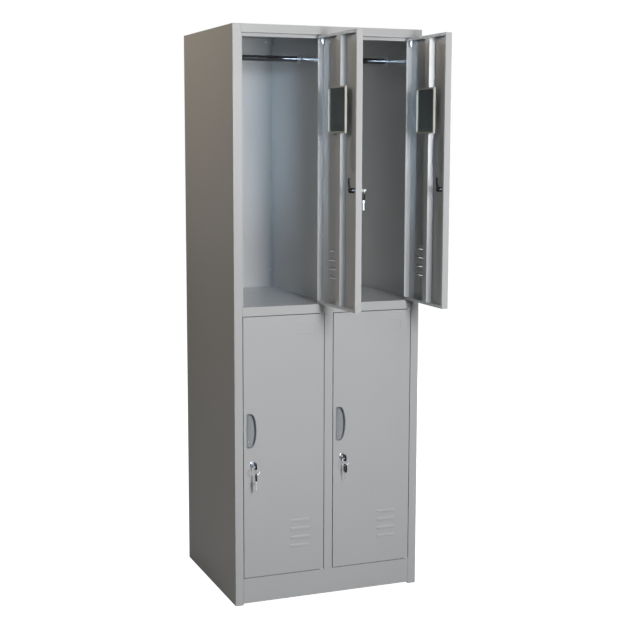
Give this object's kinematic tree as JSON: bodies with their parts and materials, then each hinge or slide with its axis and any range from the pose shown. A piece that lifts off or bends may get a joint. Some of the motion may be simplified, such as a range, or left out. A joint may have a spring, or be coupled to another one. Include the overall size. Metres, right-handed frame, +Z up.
{
  "type": "locker cabinet",
  "caption": "Tall sheet-steel locker cabinet with vented hinged doors, recessed finger pulls, cam locks with keys, coat rods, door mirrors and a plinth.",
  "frame": {"origin": "on the floor, at the middle of the back panel's floor flange, 10 mm in front of the cabinet's rear face", "axes": "+X to the right as seen from the front, +Y towards the back, +Z up; the doors face -Y"},
  "size_m": [0.642, 0.8052, 1.85],
  "materials": {
    "painted_steel": "light grey powder coat, semi-gloss",
    "zinc_hardware": "bright zinc plate",
    "chrome_tube": "polished chrome",
    "rod_socket": "nickel plate",
    "handle_cup": "grey moulded plastic, satin",
    "key_head": "black moulded head on a nickel blade",
    "key_metal": "bright nickel plate",
    "cam_steel": "black passivated steel",
    "mirror_frame": "warm grey moulded plastic",
    "mirror_glass": "silvered glass"
  },
  "bodies": {
    "carcass": {"left_side_panel": "painted_steel", "right_side_panel": "painted_steel", "back_panel": "painted_steel", "roof_panel": "painted_steel", "centre_partition": "painted_steel", "left_mid_shelf": "painted_steel", "right_mid_shelf": "painted_steel", "base_panel": "painted_steel", "upper_left_coat_rod": "chrome_tube", "upper_left_outer_rod_socket": "rod_socket", "upper_left_inner_rod_socket": "rod_socket", "upper_right_coat_rod": "chrome_tube", "upper_right_outer_rod_socket": "rod_socket", "upper_right_inner_rod_socket": "rod_socket", "lower_left_coat_rod": "chrome_tube", "lower_left_outer_rod_socket": "rod_socket", "lower_left_inner_rod_socket": "rod_socket", "lower_right_coat_rod": "chrome_tube", "lower_right_outer_rod_socket": "rod_socket", "lower_right_inner_rod_socket": "rod_socket"},
    "upper_left_door": {"upper_left_door_panel": "painted_steel", "upper_left_door_stiffener": "painted_steel", "upper_left_handle_cup": "handle_cup", "upper_left_lock_housing": "zinc_hardware", "upper_left_top_hinge_pin": "zinc_hardware", "upper_left_bottom_hinge_pin": "zinc_hardware", "upper_left_mirror_frame": "mirror_frame", "upper_left_mirror_glass": "mirror_glass"},
    "upper_left_lock": {"upper_left_lock_cam": "cam_steel", "upper_left_key": "key_metal"},
    "upper_left_hanging_key": {"upper_left_spare_key": "key_head"},
    "upper_right_door": {"upper_right_door_panel": "painted_steel", "upper_right_door_stiffener": "painted_steel", "upper_right_handle_cup": "handle_cup", "upper_right_lock_housing": "zinc_hardware", "upper_right_top_hinge_pin": "zinc_hardware", "upper_right_bottom_hinge_pin": "zinc_hardware", "upper_right_mirror_frame": "mirror_frame", "upper_right_mirror_glass": "mirror_glass"},
    "upper_right_lock": {"upper_right_lock_cam": "cam_steel"},
    "lower_left_door": {"lower_left_door_panel": "painted_steel", "lower_left_door_stiffener": "painted_steel", "lower_left_handle_cup": "handle_cup", "lower_left_lock_housing": "zinc_hardware", "lower_left_top_hinge_pin": "zinc_hardware", "lower_left_bottom_hinge_pin": "zinc_hardware"},
    "lower_left_lock": {"lower_left_lock_cam": "cam_steel", "lower_left_key": "key_head"},
    "lower_left_hanging_key": {"lower_left_spare_key": "key_head"},
    "lower_right_door": {"lower_right_door_panel": "painted_steel", "lower_right_door_stiffener": "painted_steel", "lower_right_handle_cup": "handle_cup", "lower_right_lock_housing": "zinc_hardware", "lower_right_top_hinge_pin": "zinc_hardware", "lower_right_bottom_hinge_pin": "zinc_hardware"},
    "lower_right_lock": {"lower_right_lock_cam": "cam_steel", "lower_right_key": "key_head"},
    "lower_right_hanging_key": {"lower_right_spare_key": "key_head"}
  },
  "joints": [
    {"name": "upper_left_door_hinge", "type": "hinge", "parent": "carcass", "child": "upper_left_door", "pos_m": [-0.02175, -0.525, 1.39875], "axis": [0, 0, 1], "range_deg": [-93, 15]},
    {"name": "upper_left_lock_turn", "type": "hinge", "parent": "upper_left_door", "child": "upper_left_lock", "pos_m": [-0.0012, -0.76425, 1.346], "axis": [0.9986, 0.0523, 0], "range_deg": [0, 90]},
    {"name": "upper_left_hanging_key_swing", "type": "hinge", "parent": "upper_left_door", "child": "upper_left_hanging_key", "pos_m": [0.01628, -0.76334, 1.346], "axis": [0.0523, -0.9986, 0], "range_deg": [-10, 30]},
    {"name": "upper_right_door_hinge", "type": "hinge", "parent": "carcass", "child": "upper_right_door", "pos_m": [0.2865, -0.525, 1.39875], "axis": [0, 0, 1], "range_deg": [-90, 18]},
    {"name": "upper_right_lock_turn", "type": "hinge", "parent": "upper_right_door", "child": "upper_right_lock", "pos_m": [0.2945, -0.765, 1.346], "axis": [1, 0, 0], "range_deg": [0, 90]},
    {"name": "lower_left_door_hinge", "type": "hinge", "parent": "carcass", "child": "lower_left_door", "pos_m": [-0.02175, -0.525, 0.5165], "axis": [0, 0, 1], "range_deg": [0, 108]},
    {"name": "lower_left_lock_turn", "type": "hinge", "parent": "lower_left_door", "child": "lower_left_lock", "pos_m": [-0.26175, -0.533, 0.4665], "axis": [0, -1, 0], "range_deg": [0, 90]},
    {"name": "lower_left_hanging_key_swing", "type": "hinge", "parent": "lower_left_door", "child": "lower_left_hanging_key", "pos_m": [-0.26175, -0.5635, 0.4665], "axis": [-1, 0, 0], "range_deg": [-12, 60]},
    {"name": "lower_right_door_hinge", "type": "hinge", "parent": "carcass", "child": "lower_right_door", "pos_m": [0.2865, -0.525, 0.5165], "axis": [0, 0, 1], "range_deg": [0, 108]},
    {"name": "lower_right_lock_turn", "type": "hinge", "parent": "lower_right_door", "child": "lower_right_lock", "pos_m": [0.0465, -0.533, 0.4665], "axis": [0, -1, 0], "range_deg": [0, 90]},
    {"name": "lower_right_hanging_key_swing", "type": "hinge", "parent": "lower_right_door", "child": "lower_right_hanging_key", "pos_m": [0.0465, -0.5635, 0.4665], "axis": [-1, 0, 0], "range_deg": [-12, 60]}
  ]
}
